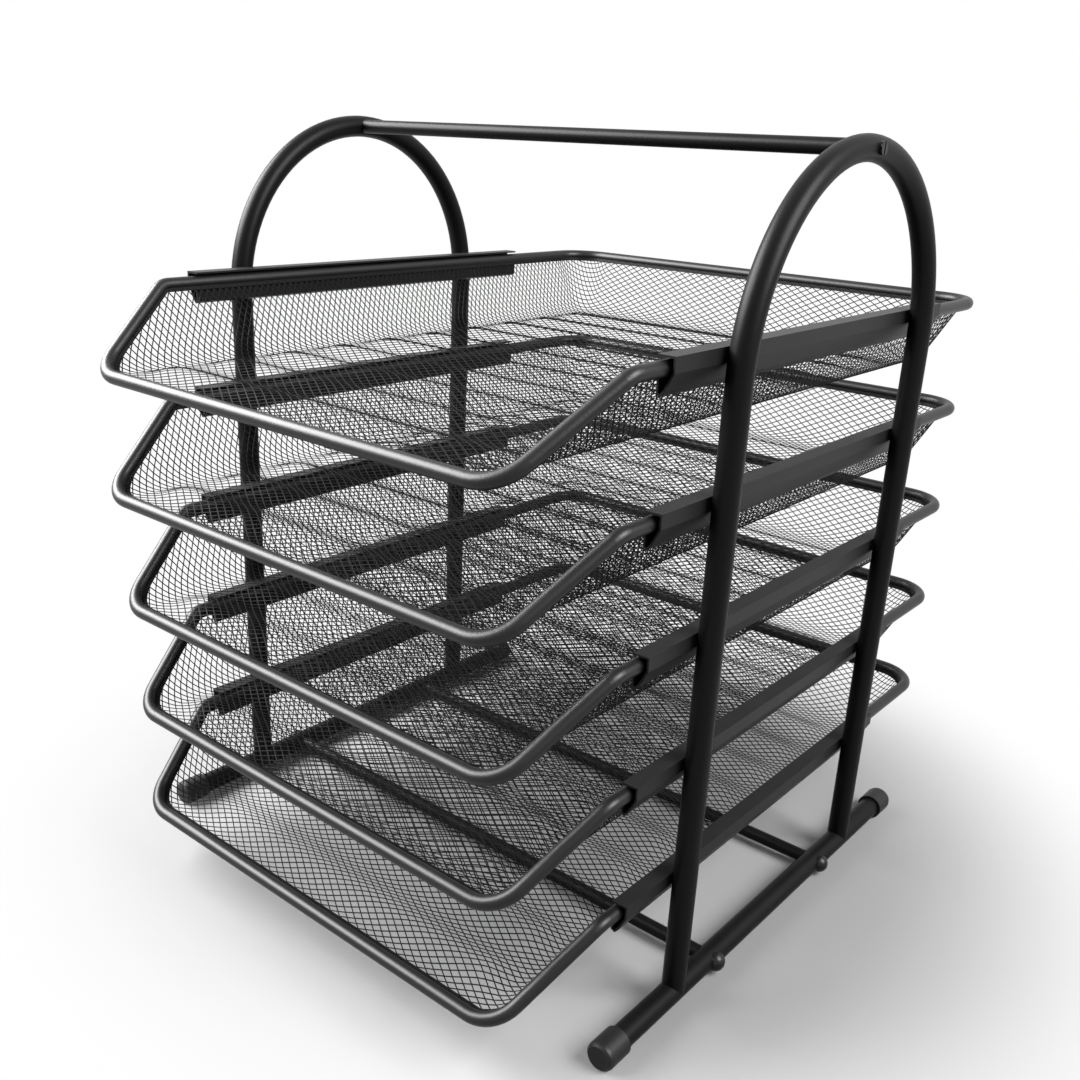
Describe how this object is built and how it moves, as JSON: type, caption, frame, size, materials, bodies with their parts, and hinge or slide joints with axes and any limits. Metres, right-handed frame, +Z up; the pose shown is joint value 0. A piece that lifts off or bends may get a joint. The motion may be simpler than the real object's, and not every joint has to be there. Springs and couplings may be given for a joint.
{
  "type": "desktop file sorter",
  "caption": "Desktop paper sorter: mesh trays with low fronts that slide in runners between two arched tube side frames, with a handle bar on top.",
  "frame": {"origin": "on the desk surface, at the middle of the object's width and depth", "axes": "+X to the object's right seen from its front, +Y to the rear, +Z up; trays slide out along -Y"},
  "size_m": [0.2908, 0.3592, 0.3449],
  "materials": {
    "tube_paint": "semi-gloss black powder coat",
    "runner_paint": "semi-gloss black powder coat on folded sheet",
    "rim_paint": "semi-gloss black powder coat",
    "mesh_paint": "black powder coat on expanded metal",
    "cap_plastic": "fine moulded texture",
    "sleeve_plastic": "plain moulded",
    "insert_steel": "bright zinc plate",
    "screw_steel": "black oxide",
    "bolt_steel": "black oxide, slightly glossy dome"
  },
  "bodies": {
    "frame": {"left_arch_front_tube": "tube_paint", "left_arch_rear_tube": "tube_paint", "left_crown_sleeve": "sleeve_plastic", "left_base_tube": "tube_paint", "left_front_end_cap": "cap_plastic", "left_rear_end_cap": "cap_plastic", "left_runner_1": "runner_paint", "left_runner_2": "runner_paint", "left_runner_3": "runner_paint", "left_runner_4": "runner_paint", "left_runner_5": "runner_paint", "right_arch_front_tube": "tube_paint", "right_arch_rear_tube": "tube_paint", "right_crown_sleeve": "sleeve_plastic", "right_base_tube": "tube_paint", "right_front_end_cap": "cap_plastic", "right_rear_end_cap": "cap_plastic", "right_runner_1": "runner_paint", "right_runner_2": "runner_paint", "right_runner_3": "runner_paint", "right_runner_4": "runner_paint", "right_runner_5": "runner_paint", "handle_bar": "tube_paint", "handle_screws": "screw_steel", "handle_inserts": "insert_steel", "front_crossbar": "tube_paint", "rear_crossbar": "tube_paint", "crossbar_bolts": "bolt_steel", "crossbar_inserts": "insert_steel"},
    "tray_1": {"tray_1_rim": "rim_paint", "tray_1_pan": "mesh_paint"},
    "tray_2": {"tray_2_rim": "rim_paint", "tray_2_pan": "mesh_paint"},
    "tray_3": {"tray_3_rim": "rim_paint", "tray_3_pan": "mesh_paint"},
    "tray_4": {"tray_4_rim": "rim_paint", "tray_4_pan": "mesh_paint"},
    "tray_5": {"tray_5_rim": "rim_paint", "tray_5_pan": "mesh_paint"}
  },
  "joints": [
    {"name": "tray_1_slide", "type": "slide", "parent": "frame", "child": "tray_1", "axis": [0, -1, 0], "range_m": [-0.0134, 0.1366]},
    {"name": "tray_2_slide", "type": "slide", "parent": "frame", "child": "tray_2", "axis": [0, -1, 0], "range_m": [-0.0133, 0.1367]},
    {"name": "tray_3_slide", "type": "slide", "parent": "frame", "child": "tray_3", "axis": [0, -1, 0], "range_m": [-0.0096, 0.1404]},
    {"name": "tray_4_slide", "type": "slide", "parent": "frame", "child": "tray_4", "axis": [0, -1, 0], "range_m": [-0.0072, 0.1428]},
    {"name": "tray_5_slide", "type": "slide", "parent": "frame", "child": "tray_5", "axis": [0, -1, 0], "range_m": [-0.0064, 0.1436]}
  ]
}
